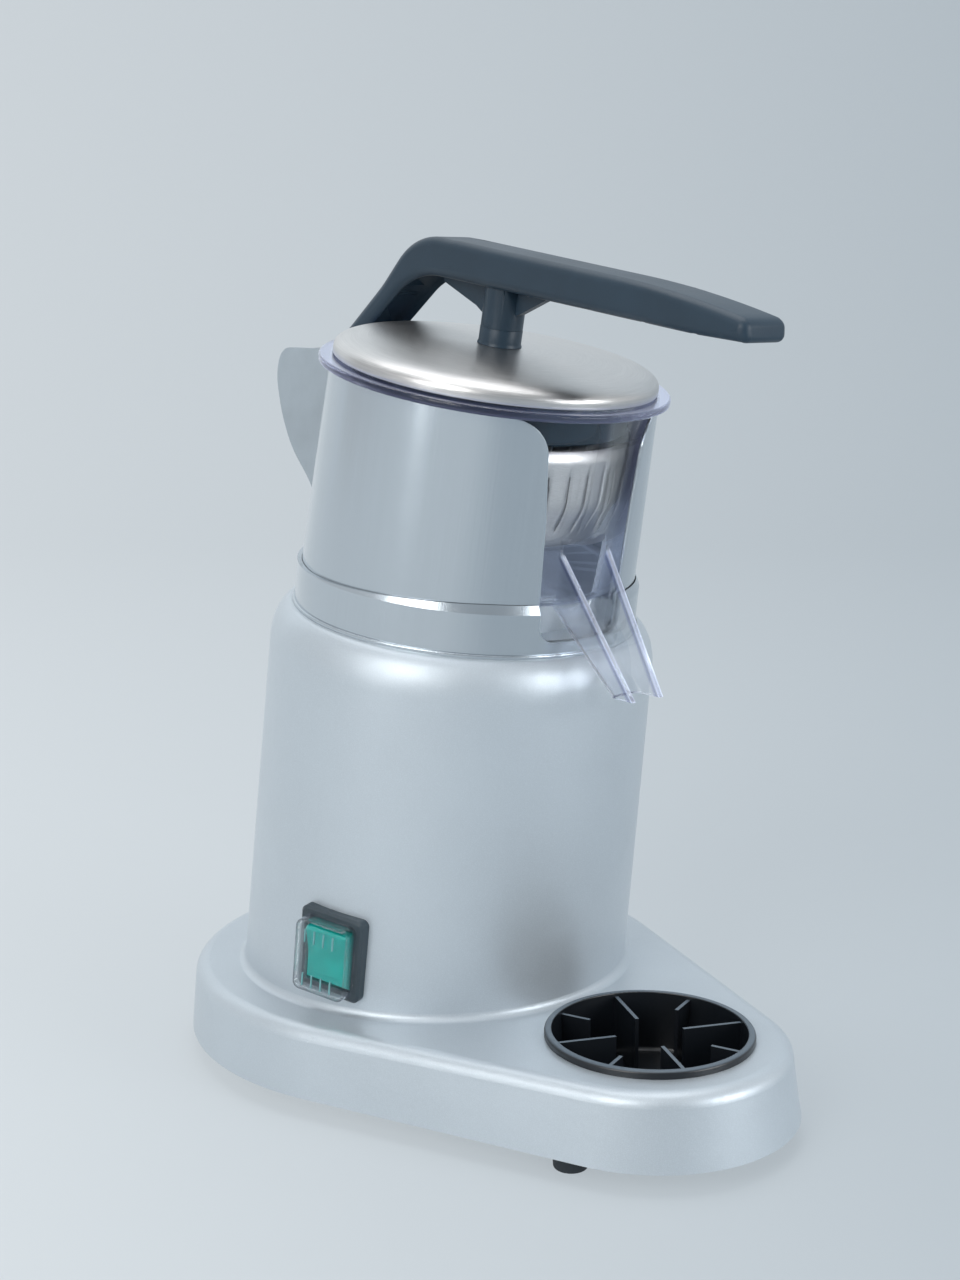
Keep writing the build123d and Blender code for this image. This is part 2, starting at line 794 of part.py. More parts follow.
# lever seen from the side, as (y, z) from the hinge axis, from the hinge over the top to the grip and back
lever_side = [
    (6.46, 8.40),
    (-30.2, 36.7),
    (-52.0, 57.7),
    (-140.0, 42.6),
    (-189.5, 36.8),
    (-229.5, 24.4),
    (-229.5, 16.2),
    (-205.0, 18.9),
    (-52.4, 41.6),
    (-27.5, 23.2),
    (-18.6, 16.8),
    (-9.54, -4.63),
]
lever_rounding = [60, 30, 150, 40, 3, 2.5, 100, 35, 4, 5]

lever_channel = [
    (-11.4, 18.0),
    (-32.2, 34.2),
    (-52.6, 54.0),
    (-140.0, 39.5),
    (-189.3, 33.7),
    (-226.3, 22.0),
    (-226.3, 2.0),
    (-60.0, 2.0),
    (-23.0, 3.0),
]
channel_rounding = [2, 57, 27, 150, 37, 0, 0, 0, 0]


def head_rod(r, low, high):
    return in_head(disc(r, low, high))


def lever():
    corners = [(0, y, z) for y, z in lever_side]
    run = FilletPolyline(*corners, radius=lever_rounding)
    end_turn = radians(309.15)
    end = ThreePointArc(
        corners[-1],
        (0, lever_end_r * cos(end_turn), lever_end_r * sin(end_turn)),
        corners[0],
    )
    face = make_face([*run.edges(), end])
    beam = extrude(face, amount=lever_half, dir=(1, 0, 0), both=True)
    top_edges = []
    for edge in beam.edges():
        spot = edge.center()
        if abs(abs(spot.X) - lever_half) < 0.01 and abs(edge.tangent_at(0.5).X) < 0.01:
            y, z = spot.Y, spot.Z
            if y > -226 and y < 3 and z > 0.16 * y + 52.0 - max(0, y + 50) * 1.1:
                top_edges.append(edge)
    beam = fillet(top_edges, lever_round)
    beam -= side_plate(lever_channel, lever_half - lever_wall, channel_rounding)
    for y in (-205, -180, -150, -120):
        beam += block(-10, 10, y - 1, y + 1, 27 + (y + 150) * 0.155, 36 + (y + 150) * 0.155)
    beam = hinge_spot * beam
    post = head_rod(post_r, post_low, post_low + 18)
    rear = [(-60.0, 53.5), (-60.0, 37.8), (-79.7, 28.3), (-85.5, 24.0), (-93.0, 22.8), (-93.0, 48.5)]
    front = [(-122.0, 43.0), (-122.0, 30.9), (-105.2, 24.7), (-93.0, 22.6), (-93.0, 48.5)]
    ribs = side_plate(rear, 1.5) + side_plate(front, 1.5)
    beam = beam + post
    beam = beam + (hinge_spot * ribs)
    beam -= hinge_spot * along_x(pin_r + pin_play, -20, 20)
    beam -= head_rod(post_bore_r, post_low - 1, post_low + 11)
    return beam


def lid_boss():
    points = [
        (post_bore_r, lid_top),
        (post_r + 3.0, lid_top),
        (post_r + 2.0, lid_top + 2.5),
        (post_r, post_low),
        (post_bore_r, post_low),
    ]
    return in_head(turned(points, [0, 1.0, 3, 0, 0]))


def lid():
    s = lid_sheet
    points = [
        (4.2, lid_top - s),
        (15, lid_top - s),
        (lid_r - 15.1, lid_top - 0.5 - s),
        (lid_r - 11.3, lid_rim_top + 0.5 - s),
        (lid_r - s, lid_rim_top - s - 0.2),
        (lid_r - s, lid_low),
        (lid_r, lid_low),
        (lid_r, lid_rim_top - 0.2),
        (lid_r - 11.1, lid_rim_top + 0.5),
        (lid_r - 14.7, lid_top - 0.5),
        (14.0, lid_top),
        (4.2, lid_top),
    ]
    return in_head(turned(points, [0, 0, 2, 2, 3.8, 0, 0.4, 5, 2, 2, 60, 0]))


def press_cup():
    skirt = [
        (0, lid_top - lid_sheet),
        (14, lid_top - lid_sheet),
        (16, lid_top - 6),
        (cup_top_r, lid_top - 6),
        (cup_top_r, lid_top - 14),
        (cup_low_r, cup_low),
        (cup_low_r - 4.7, cup_low),
        (cup_low_r - 8.2, cup_low + 4.2),
        (30, cup_low + 11.7),
        (0, cup_low + 13.7),
    ]
    cup = turned(skirt, [0, 0, 2, 2, 6, 1.2, 1.2, 10, 30, 0])
    rib = block(16, cup_low_r - 8.2, -1.0, 1.0, cup_low + 5.2, bolt_seat)
    trim = [(0, -6.8), (60, -6.8), (60, 1.2), (cup_low_r - 9.2, 1.2), (30, 8.8), (0, 10.8)]
    rib_trim = turned([(r, cup_low + h) for r, h in trim], [0, 0, 0, 5, 30, 0])
    for piece in around(rib, 8):
        cup += piece - rib_trim
    cup -= disc(4.2, bolt_seat - 14, lid_top + 6)
    cup -= disc(8.6, bolt_seat - 14, bolt_seat)
    return in_head(cup)


def stem_bolt():
    bolt = Pos(0, 0, bolt_seat) * socket_screw(post_bore_r - 0.05, post_low - bolt_seat + 10, 6.5, 5.2)
    return in_head(bolt + pipe(8.2, post_bore_r - 0.1, bolt_seat - 1.4, bolt_seat))


def drip_cup():
    top = base_top + cup_ring_h
    low = base_top - cup_depth
    points = [
        (0, low),
        (cup_body_r - 1.2, low),
        (cup_body_r, base_top),
        (cup_ring_r, base_top),
        (cup_ring_r, top),
        (cup_mouth_r, top),
        (cup_mouth_r - 1.2, low + 2),
        (0, low + 2),
    ]
    cup = turned(points, [0, 3, 0, 0, 1.2, 0.5, 2, 0])
    rib_top = top - 1.6
    long_rib = block(14, cup_mouth_r + 0.4, -0.75, 0.75, low + 1, rib_top)
    short_rib = block(26, cup_mouth_r + 0.4, -0.75, 0.75, low + 1, rib_top)
    for rib in around(long_rib, 4, -90 - 26):
        cup += rib
    for rib in around(short_rib, 4, -90 + 19):
        cup += rib
    return Pos(0, cup_y, 0) * cup


pieces = {
    "base_casting": base_casting,
    "collar": collar,
    "splash_guard": splash_guard,
    "bowl": bowl,
    "strainer": strainer,
    "base_plate": base_plate,
    "rubber_feet": rubber_feet,
    "foot_screws": foot_screws,
    "switch_housing": switch_housing,
    "switch_rocker": switch_rocker,
    "switch_cover": switch_cover,
    "cord_gland": cord_gland,
    "gland_nut": gland_nut,
    "motor_stator": motor_stator,
    "motor_windings": motor_windings,
    "upper_end_shield": upper_end_shield,
    "lower_end_shield": lower_end_shield,
    "upper_bearing": lambda: bearing(motor_top - 12, motor_top - 2),
    "lower_bearing": lambda: bearing(motor_low + 2, motor_low + 12),
    "motor_screws": motor_screws,
    "motor_rotor": motor_rotor,
    "motor_shaft": motor_shaft,
    "cooling_fan": cooling_fan,
    "drive_pin": drive_pin,
    "shaft_seal": shaft_seal,
    "reamer": reamer,
    "run_capacitor": run_capacitor,
    "capacitor_clip": capacitor_clip,
    "hinge_bracket": hinge_bracket,
    "bracket_screws": bracket_screws,
    "hinge_pin": hinge_pin,
    "pin_plug": pin_plug,
    "hinge_washers": hinge_washers,
    "lever": lever,
    "lid_boss": lid_boss,
    "lid": lid,
    "press_cup": press_cup,
    "stem_bolt": stem_bolt,
    "drip_cup": drip_cup,
}

for name, make in pieces.items():
    export_step(make(), f"parts/{name}.step")
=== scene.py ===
import math

import bmesh
import bpy
from mathutils import Matrix, Vector


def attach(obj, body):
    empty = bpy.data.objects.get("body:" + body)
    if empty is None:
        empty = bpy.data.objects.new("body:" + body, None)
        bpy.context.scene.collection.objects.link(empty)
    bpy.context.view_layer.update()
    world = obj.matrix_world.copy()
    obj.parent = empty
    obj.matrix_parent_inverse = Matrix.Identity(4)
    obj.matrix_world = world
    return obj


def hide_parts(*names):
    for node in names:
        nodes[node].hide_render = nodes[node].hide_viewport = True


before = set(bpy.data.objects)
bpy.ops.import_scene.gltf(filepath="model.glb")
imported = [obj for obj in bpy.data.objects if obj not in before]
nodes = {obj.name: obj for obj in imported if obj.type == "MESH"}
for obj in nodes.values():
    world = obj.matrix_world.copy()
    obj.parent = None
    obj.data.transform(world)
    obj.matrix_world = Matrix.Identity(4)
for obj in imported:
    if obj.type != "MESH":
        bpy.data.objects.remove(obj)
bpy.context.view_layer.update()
print("frame loaded:", len(nodes), "nodes")

# the head leans forward; its spindle axis is the centre of lid, bowl, strainer and reamer
headAxis = {"foot": (0.0, 0.01821, 0.210906), "lean": math.radians(11.5)}
bodyAxis = {"foot": (0.0, 0.0410, 0.0378), "lean": math.radians(7.5)}

# y and z of the lever's hinge pin, which runs from side to side
hinge = (0.0915, 0.2900)


def axisMatrix(axis):
    return Matrix.Translation(axis["foot"]) @ Matrix.Rotation(axis["lean"], 4, "X")


# a number that changes over a surface, so that shader maths reads as ordinary arithmetic
class Amount:
    def __init__(self, finish, socket):
        self.finish = finish
        self.socket = socket

    def maths(self, operation, *values, clamp=False):
        settings = {"operation": operation, "use_clamp": clamp}
        made = self.finish.node("ShaderNodeMath", settings, dict(enumerate(values)))
        return Amount(self.finish, made.outputs[0])

    def __add__(self, other):
        return self.maths("ADD", self, other)

    def __sub__(self, other):
        return self.maths("SUBTRACT", self, other)

    def __rsub__(self, other):
        return self.maths("SUBTRACT", other, self)

    def __mul__(self, other):
        return self.maths("MULTIPLY", self, other)

    def __truediv__(self, other):
        return self.maths("DIVIDE", self, other)

    def __pow__(self, other):
        return self.maths("POWER", self, other)

    __radd__ = __add__
    __rmul__ = __mul__

    # 0 at low and 1 at high, and no further beyond them; low may be the larger of the two
    def between(self, low, high):
        return self.maths("DIVIDE", self - low, high - low, clamp=True)


# one material: a principled shader and the nodes that feed it
class Finish:
    def __init__(self, name, fixed):
        self.material = bpy.data.materials.new(name)
        self.material.use_nodes = True
        self.tree = self.material.node_tree
        self.tree.nodes.clear()
        self.shader = self.node("ShaderNodeBsdfPrincipled", {}, fixed)
        self.output = self.node("ShaderNodeOutputMaterial", {}, {"Surface": self.shader.outputs[0]})

    def feed(self, socket, value):
        if isinstance(value, Amount):
            value = value.socket
        if isinstance(value, bpy.types.NodeSocket):
            self.tree.links.new(value, socket)
        else:
            socket.default_value = value

    def node(self, kind, settings=None, inputs=None):
        made = self.tree.nodes.new(kind)
        for key, value in (settings or {}).items():
            if key == "stops":
                for element, (place, colour) in zip(made.color_ramp.elements, value):
                    element.position = place
                    element.color = (*colour, 1.0)
            else:
                setattr(made, key, value)
        for key, value in (inputs or {}).items():
            self.feed(made.inputs[key], value)
        return made

    def set(self, **inputs):
        for key, value in inputs.items():
            self.feed(self.shader.inputs[key.replace("_", " ")], value)

    # position on the part, in metres
    def place(self):
        return self.node("ShaderNodeTexCoord").outputs["Object"]

    # position in the frame of a leaning axis: z runs up along it
    def placeOn(self, axis):
        moved = self.node("ShaderNodeVectorMath", {"operation": "SUBTRACT"},
                          {0: self.place(), 1: axis["foot"]})
        turned = self.node("ShaderNodeVectorRotate", {"rotation_type": "X_AXIS"},
                           {"Vector": moved.outputs[0], "Angle": -axis["lean"]})
        return turned.outputs[0]

    def parts(self, vector):
        split = self.node("ShaderNodeSeparateXYZ", {}, {0: vector})
        return [Amount(self, socket) for socket in split.outputs]

    # distance from the axis, angle round it, height along it
    def round(self, axis):
        x, y, z = self.parts(self.placeOn(axis))
        radius = (x * x + y * y) ** 0.5
        angle = radius.maths("ARCTAN2", x, y)
        return radius, angle, z

    def noise(self, scale, detail=2.0, vector=None, roughness=0.5):
        inputs = {"Scale": scale, "Detail": detail, "Roughness": roughness, "Vector": vector or self.place()}
        return Amount(self, self.node("ShaderNodeTexNoise", {}, inputs).outputs["Fac"])

    def vector(self, x, y, z):
        return self.node("ShaderNodeCombineXYZ", {}, {0: x, 1: y, 2: z}).outputs[0]

    def mix(self, factor, low, high):
        made = self.node("ShaderNodeMix", {"data_type": "RGBA"}, {0: factor})
        self.feed(made.inputs[6], low if not isinstance(low, tuple) else (*low, 1.0))
        self.feed(made.inputs[7], high if not isinstance(high, tuple) else (*high, 1.0))
        return made.outputs[2]

    # the colour times the first factor at the low end of the span, times the second at its high end
    def vary(self, colour, amount, span, factors):
        return self.mix(amount.between(*span), tint(colour, factors[0]), tint(colour, factors[1]))

    def bump(self, height, depth, strength=1.0):
        made = self.node("ShaderNodeBump", {}, {"Strength": strength, "Distance": depth, "Height": height})
        self.feed(self.shader.inputs["Normal"], made.outputs[0])
        return self


def tint(colour, factor):
    return tuple(min(1.0, c * factor) for c in colour)


def wear(*names):
    for name, finish in names:
        slots = nodes[name].data.materials
        slots.clear()
        slots.append(finish.material)


# cast and lacquered body: metallic flake under a satin clear coat, with a faint orange peel
castSilver = {"colour": (0.515, 0.565, 0.605), "metallic": 0.55, "coat": 0.12, "coatRough": 0.22,
              "flake": 2600, "flakeSpan": (0.42, 0.75), "flakeShare": 0.5, "flakeTint": 1.16,
              "cloud": 14, "cloudSpan": (0.35, 0.65), "cloudTint": (0.97, 1.03), "cloudRough": 0.06,
              "dust": 90, "dustSpan": (0.5, 0.8), "dustRough": 0.08, "rough": 0.43,
              "peel": 300, "flakeHeight": 0.35, "depth": 0.00006}


def makeCastSilver():
    s = castSilver
    f = Finish("castSilver", {"Coat Weight": s["coat"], "Coat Roughness": s["coatRough"],
                              "Metallic": s["metallic"]})
    flake = f.noise(s["flake"], 1.0)
    cloud = f.noise(s["cloud"], 3.0)
    dust = f.noise(s["dust"], 5.0, roughness=0.7)
    base = f.vary(s["colour"], cloud, s["cloudSpan"], s["cloudTint"])
    colour = f.mix(flake.between(*s["flakeSpan"]) * s["flakeShare"], base, tint(s["colour"], s["flakeTint"]))
    rough = s["rough"] + s["cloudRough"] * (cloud - 0.5) + s["dustRough"] * dust.between(*s["dustSpan"])
    f.set(Base_Color=colour, Roughness=rough)
    return f.bump(f.noise(s["peel"], 2.0) + s["flakeHeight"] * flake, s["depth"])


# rolled sheet of guard and collar: smoother, with fine lines along its height
sheetSilver = {"colour": (0.475, 0.525, 0.565), "metallic": 0.85, "coat": 0.2, "coatRough": 0.1,
               "lines": (150, 14, 20), "lineSpan": (0.3, 0.7), "lineTint": (0.985, 1.015),
               "smear": (5, 40), "smearSpan": (0.4, 0.8), "smearRough": 0.05,
               "cloud": 10, "cloudRough": 0.03, "rough": 0.20,
               "grain": 420, "grainHeight": 0.6, "depth": 0.00002}


def makeSheetSilver():
    s = sheetSilver
    f = Finish("sheetSilver", {"Coat Weight": s["coat"], "Coat Roughness": s["coatRough"],
                               "Metallic": s["metallic"]})
    radius, angle, z = f.round(headAxis)
    perTurn, perHeight, perRadius = s["lines"]
    lines = f.noise(1.0, 2.0, f.vector(angle * perTurn, z * perHeight, radius * perRadius))
    cloud = f.noise(s["cloud"], 3.0)
    perTurn, perHeight = s["smear"]
    smear = f.noise(1.0, 3.0, f.vector(angle * perTurn, z * perHeight, 0.0))
    rough = s["rough"] + s["smearRough"] * smear.between(*s["smearSpan"]) + s["cloudRough"] * (cloud - 0.5)
    f.set(Base_Color=f.vary(s["colour"], lines, s["lineSpan"], s["lineTint"]), Roughness=rough)
    return f.bump(lines + s["grainHeight"] * f.noise(s["grain"], 2.0), s["depth"])


# brushed stainless: fine circles round the spindle axis on the lid, level lines on the strainer;
# "grain" scales the angle in radians, the height and the radius
brushedSteel = {"lidSteel": {"colour": (0.60, 0.59, 0.58), "rough": 0.31, "depth": 0.00011,
                             "grain": (3.0, 900, 3600)},
                "strainerSteel": {"colour": (0.66, 0.66, 0.66), "rough": 0.35, "depth": 0.000012,
                                  "grain": (26, 3600, 60)},
                "grainSpan": (0.25, 0.75), "grainTint": (0.86, 1.12), "grainRough": 0.12,
                "smear": 9, "smearSpan": (0.45, 0.75), "smearRough": 0.08, "cloud": 30, "cloudHeight": 0.1}


def makeSteel(name):
    s, own = brushedSteel, brushedSteel[name]
    f = Finish(name, {"Metallic": 1.0})
    radius, angle, z = f.round(headAxis)
    perTurn, perHeight, perRadius = own["grain"]
    if name == "lidSteel":
        along = f.vector(radius * perRadius, angle * perTurn, z * perHeight)
    else:
        along = f.vector(angle * perTurn, z * perHeight, radius * perRadius)
    grain = f.noise(1.0, 3.0, along, 0.65)
    cloud = f.noise(s["cloud"], 4.0)
    smear = f.noise(s["smear"], 3.0, roughness=0.6)
    rough = own["rough"] + s["grainRough"] * (grain - 0.5) + s["smearRough"] * smear.between(*s["smearSpan"])
    f.set(Base_Color=f.vary(own["colour"], grain, s["grainSpan"], s["grainTint"]), Roughness=rough)
    return f.bump(grain + s["cloudHeight"] * cloud, own["depth"])


# moulded slate plastic of lever, boss and press cup
slatePlastic = {"colour": (0.0165, 0.035, 0.055), "specular": 0.38, "rough": 0.42,
                "grain": 1500, "grainRough": 0.06,
                "flow": 35, "flowSpan": (0.3, 0.7), "flowTint": (0.92, 1.10),
                "handled": 12, "handledSpan": (0.45, 0.7), "handledRough": 0.07, "depth": 0.00005}


def makeSlate():
    s = slatePlastic
    f = Finish("slatePlastic", {"Specular IOR Level": s["specular"]})
    grain = f.noise(s["grain"], 3.0)
    flow = f.noise(s["flow"], 3.0, roughness=0.6)
    handled = f.noise(s["handled"], 4.0)
    smoothed = s["handledRough"] * handled.between(*s["handledSpan"])
    rough = s["rough"] - smoothed + s["grainRough"] * (grain - 0.5)
    f.set(Base_Color=f.vary(s["colour"], flow, s["flowSpan"], s["flowTint"]), Roughness=rough)
    return f.bump(grain, s["depth"])


# clear mouldings: bowl with spout, and the soft boot over the rocker
clearPlastic = {"bowl": {"colour": (0.92, 0.935, 0.985), "rough": 0.03, "facing": 0.14},
                "boot": {"colour": (0.80, 0.86, 0.88), "rough": 0.10, "facing": 0.10},
                "ior": 1.25, "coat": 0.6, "coatRough": 0.04, "blend": 0.35, "edgeSpan": (0.15, 0.8),
                "paintedGlowSpan": (0.35, 0.95), "edgePaintedGlow": (0.055, 0.063, 0.100),
                "streak": 60, "streakSpan": (0.3, 0.7), "streakTint": (0.985, 1.0),
                "scuff": 700, "scuffSpan": (0.55, 0.8), "scuffRough": 0.03,
                "wave": 45, "waveStrength": 0.5, "depth": 0.00010}

# places of the bowl that look different: its thick rim, its floor, the spout, and the lines of its lip; rim
# and floor get a painted glow, the lip lines a painted highlight with a painted shade band beside them
bowlMarks = {"rimRadius": (0.0650, 0.0672), "rimHeight": (0.078, 0.0795), "rimTone": (0.60, 0.63, 0.80),
             "rimPaintedGlow": (0.040, 0.046, 0.085), "rimAlpha": 0.45,
             "spoutRadius": (0.0648, 0.0662), "spoutTop": (0.060, 0.061), "spoutAlpha": 0.42,
             "floorTop": (0.026, 0.036), "floorPaintedGlow": (0.052, 0.064, 0.086), "floorShare": 0.8,
             "floorAlpha": 0.30, "lip": (-0.0562, 0.0359), "lipTurn": math.radians(45.6),
             "lipHalf": (0.0008, 0.0005), "lipOut": (0.0655, 0.0665), "lipPaintedHighlight": (0.22, 0.24, 0.30),
             "lipAlpha": 0.50, "besideFrom": (0.0008, 0.0012), "besideTo": (0.0018, 0.0030),
             "besidePaintedShade": (0.34, 0.36, 0.60), "besideAlpha": 0.20}


def markBowl(f, tone, glow, alpha):
    s = bowlMarks
    x, y, z = f.parts(f.placeOn(headAxis))
    radius = (x * x + y * y) ** 0.5
    thick = radius.between(*s["rimRadius"]) * z.between(*s["rimHeight"])
    spout = radius.between(*s["spoutRadius"]) * (1 - z.between(*s["spoutTop"]))
    low = (1 - z.between(*s["floorTop"])) * (1 - spout)
    aside = (y - s["lip"][0]) * math.sin(s["lipTurn"]) - (z - s["lip"][1]) * math.cos(s["lipTurn"])
    lip = aside.maths("ABSOLUTE", aside).between(*s["lipHalf"]) * radius.between(*s["lipOut"]) * spout
    beside = aside.between(*s["besideFrom"]) * (1 - aside.between(*s["besideTo"])) * spout
    # painted shade: a darker violet band beside each lip line; painted glow: emission on the thick rim and
    # the floor, and a painted highlight along the lip lines
    tone = f.mix(beside, f.mix(thick, tone, s["rimTone"]), s["besidePaintedShade"])
    glow = f.mix(low * s["floorShare"], f.mix(thick, glow, s["rimPaintedGlow"]), s["floorPaintedGlow"])
    glow = f.mix(lip, glow, s["lipPaintedHighlight"])
    alpha = alpha + s["rimAlpha"] * thick + s["spoutAlpha"] * spout + s["floorAlpha"] * low
    return tone, glow, alpha + s["lipAlpha"] * lip + s["besideAlpha"] * beside


# solid for light that grazes it, mostly open for light that goes straight through its thin wall
def makeClear(name, kind):
    s, own = clearPlastic, clearPlastic[kind]
    f = Finish(name, {"Transmission Weight": 1.0, "IOR": s["ior"], "Emission Strength": 1.0,
                      "Coat Weight": s["coat"], "Coat Roughness": s["coatRough"]})
    streak = f.noise(s["streak"], 3.0)
    scuff = f.noise(s["scuff"], 2.0)
    tone = f.vary(own["colour"], streak, s["streakSpan"], s["streakTint"])
    edge = Amount(f, f.node("ShaderNodeLayerWeight", {}, {"Blend": s["blend"]}).outputs["Facing"])
    alpha = own["facing"] + (1 - own["facing"]) * edge.between(*s["edgeSpan"])
    # painted glow: emission brightens the plastic where it is seen at a grazing angle
    glow = f.mix(edge.between(*s["paintedGlowSpan"]), (0.0, 0.0, 0.0), s["edgePaintedGlow"])
    if kind == "bowl":
        tone, glow, alpha = markBowl(f, tone, glow, alpha)
    rough = own["rough"] + s["scuffRough"] * scuff.between(*s["scuffSpan"])
    f.set(Base_Color=tone, Alpha=alpha.maths("MINIMUM", alpha, 1.0), Emission_Color=glow, Roughness=rough)
    return f.bump(f.noise(s["wave"], 2.0), s["depth"], s["waveStrength"])


# plain finishes that differ in colour, grain and gloss only; those without "metallic" are not metal
plainFinishes = {
    "bracketGrey": {"colour": (0.35, 0.395, 0.43), "rough": 0.50, "metallic": 0.25,
                    "grain": 900, "depth": 0.00004},
    "bezelGrey": {"colour": (0.030, 0.046, 0.058), "rough": 0.42, "grain": 1400, "depth": 0.00005},
    "cupBlack": {"colour": (0.008, 0.010, 0.014), "rough": 0.34, "grain": 1100, "depth": 0.00004},
    "footRubber": {"colour": (0.022, 0.028, 0.034), "rough": 0.75, "grain": 800, "depth": 0.00010},
    "reamerWhite": {"colour": (0.78, 0.79, 0.78), "rough": 0.38, "grain": 700, "depth": 0.00003},
    "zincPlate": {"colour": (0.55, 0.56, 0.54), "rough": 0.38, "metallic": 0.95,
                  "grain": 260, "depth": 0.00004},
    "screwSteel": {"colour": (0.52, 0.52, 0.52), "rough": 0.30, "metallic": 1.0,
                   "grain": 1800, "depth": 0.00003},
    "castAlloy": {"colour": (0.48, 0.49, 0.50), "rough": 0.55, "metallic": 0.9,
                  "grain": 500, "depth": 0.00018},
    "laminations": {"colour": (0.16, 0.16, 0.17), "rough": 0.5, "metallic": 0.8,
                    "grain": 900, "depth": 0.00008},
    "copperWire": {"colour": (0.46, 0.17, 0.07), "rough": 0.32, "metallic": 0.9,
                   "grain": 1300, "depth": 0.00020},
    "canGrey": {"colour": (0.46, 0.48, 0.50), "rough": 0.36, "grain": 300, "depth": 0.00002},
    "sealBrown": {"colour": (0.09, 0.04, 0.025), "rough": 0.6, "grain": 900, "depth": 0.00004},
    # boot ridges: the rocker's teal made lighter, a painted highlight where light catches the clear ridges
    "ridgeTealPaintedHighlight": {"colour": (0.17, 0.40, 0.41), "rough": 0.3, "grain": 900, "depth": 0.00002},
}
plainShared = {"cloud": 28, "cloudSpan": (0.3, 0.7), "cloudTint": (0.90, 1.10), "cloudRough": 0.10,
               "grainRough": 0.06}


def makePlain(name):
    s, own = plainShared, plainFinishes[name]
    f = Finish(name, {"Metallic": own.get("metallic", 0.0)})
    grain = f.noise(own["grain"], 3.0)
    cloud = f.noise(s["cloud"], 4.0, roughness=0.6)
    rough = own["rough"] + s["cloudRough"] * (cloud - 0.5) + s["grainRough"] * (grain - 0.5)
    f.set(Base_Color=f.vary(own["colour"], cloud, s["cloudSpan"], s["cloudTint"]), Roughness=rough)
    return f.bump(grain, own["depth"])


# rocker of the switch: green plastic with a faint painted glow from its emission
rockerGreen = {"colour": (0.0, 0.28, 0.25), "rough": 0.25, "glow": (0.0, 0.36, 0.32), "strength": 0.13,
               "coat": 0.4, "coatRough": 0.08, "cloud": 180, "cloudSpan": (0.3, 0.7),
               "cloudTint": (0.9, 1.12), "grain": 900, "depth": 0.00002}


def makeRocker():
    s = rockerGreen
    # painted glow: the emission lights the rocker of itself
    f = Finish("rockerGreen", {"Roughness": s["rough"], "Emission Color": (*s["glow"], 1.0),
                               "Emission Strength": s["strength"], "Coat Weight": s["coat"],
                               "Coat Roughness": s["coatRough"]})
    cloud = f.noise(s["cloud"], 3.0)
    f.set(Base_Color=f.vary(s["colour"], cloud, s["cloudSpan"], s["cloudTint"]))
    return f.bump(f.noise(s["grain"], 2.0), s["depth"])


# drip cup: black, with a painted highlight that shows the up-facing top of its ring and ribs grey
dripCup = {"black": (0.006, 0.008, 0.011), "paintedLitGrey": (0.095, 0.125, 0.155), "ribTop": (0.0388, 0.0391),
           "paintedLeast": 0.8, "paintedCloud": 0.3,
           "upSpan": (0.55, 0.95), "rough": 0.32, "upFacingRough": 0.12, "cloud": 60, "cloudRough": 0.08,
           "grain": 1100, "grainRough": 0.05, "depth": 0.00004, "coat": 0.15, "coatRough": 0.25}


def makeDripCup():
    s = dripCup
    f = Finish("dripCupBlack", {"Coat Weight": s["coat"], "Coat Roughness": s["coatRough"]})
    height = f.parts(f.place())[2]
    up = f.parts(f.node("ShaderNodeNewGeometry").outputs["Normal"])[2]
    # painted highlight: up-facing faces at the height of the ring and rib tops are painted grey, varied by a
    # cloud
    paintedLitTop = up.between(*s["upSpan"]) * height.between(*s["ribTop"])
    cloud = f.noise(s["cloud"], 4.0, roughness=0.6)
    grain = f.noise(s["grain"], 3.0)
    rough = s["rough"] + s["upFacingRough"] * paintedLitTop + s["cloudRough"] * (cloud - 0.5)
    rough = rough + s["grainRough"] * (grain - 0.5)
    share = paintedLitTop * (s["paintedLeast"] + s["paintedCloud"] * cloud)
    f.set(Base_Color=f.mix(share, s["black"], s["paintedLitGrey"]), Roughness=rough)
    return f.bump(grain, s["depth"])


silver = makeCastSilver()
sheet = makeSheetSilver()
steel = makeSteel("lidSteel")
strainerSteel = makeSteel("strainerSteel")
slate = makeSlate()
clear = makeClear("clearPlastic", "bowl")
boot = makeClear("clearBoot", "boot")
rocker = makeRocker()
plain = {name: makePlain(name) for name in plainFinishes}

wear(
    ("base_casting", silver), ("collar", sheet), ("splash_guard", sheet), ("bowl", clear),
    ("strainer", strainerSteel), ("lid", steel), ("lever", slate), ("lid_boss", slate), ("press_cup", slate),
    ("reamer", plain["reamerWhite"]), ("hinge_bracket", plain["bracketGrey"]),
    ("pin_plug", plain["bracketGrey"]), ("hinge_pin", plain["screwSteel"]),
    ("hinge_washers", plain["reamerWhite"]), ("bracket_screws", plain["screwSteel"]),
    ("stem_bolt", plain["screwSteel"]), ("switch_housing", plain["bezelGrey"]), ("switch_rocker", rocker),
    ("switch_cover", boot), ("drip_cup", makeDripCup()), ("rubber_feet", plain["footRubber"]),
    ("foot_screws", plain["screwSteel"]), ("base_plate", plain["zincPlate"]),
    ("cord_gland", plain["cupBlack"]), ("gland_nut", plain["cupBlack"]),
    ("motor_stator", plain["laminations"]), ("motor_windings", plain["copperWire"]),
    ("upper_end_shield", plain["castAlloy"]), ("lower_end_shield", plain["castAlloy"]),
    ("upper_bearing", plain["screwSteel"]), ("lower_bearing", plain["screwSteel"]),
    ("motor_screws", plain["screwSteel"]), ("motor_rotor", plain["castAlloy"]),
    ("motor_shaft", plain["screwSteel"]), ("cooling_fan", plain["cupBlack"]),
    ("drive_pin", plain["screwSteel"]), ("shaft_seal", plain["sealBrown"]),
    ("run_capacitor", plain["canGrey"]), ("capacitor_clip", plain["zincPlate"]),
)
print("finishes made:", len(bpy.data.materials))


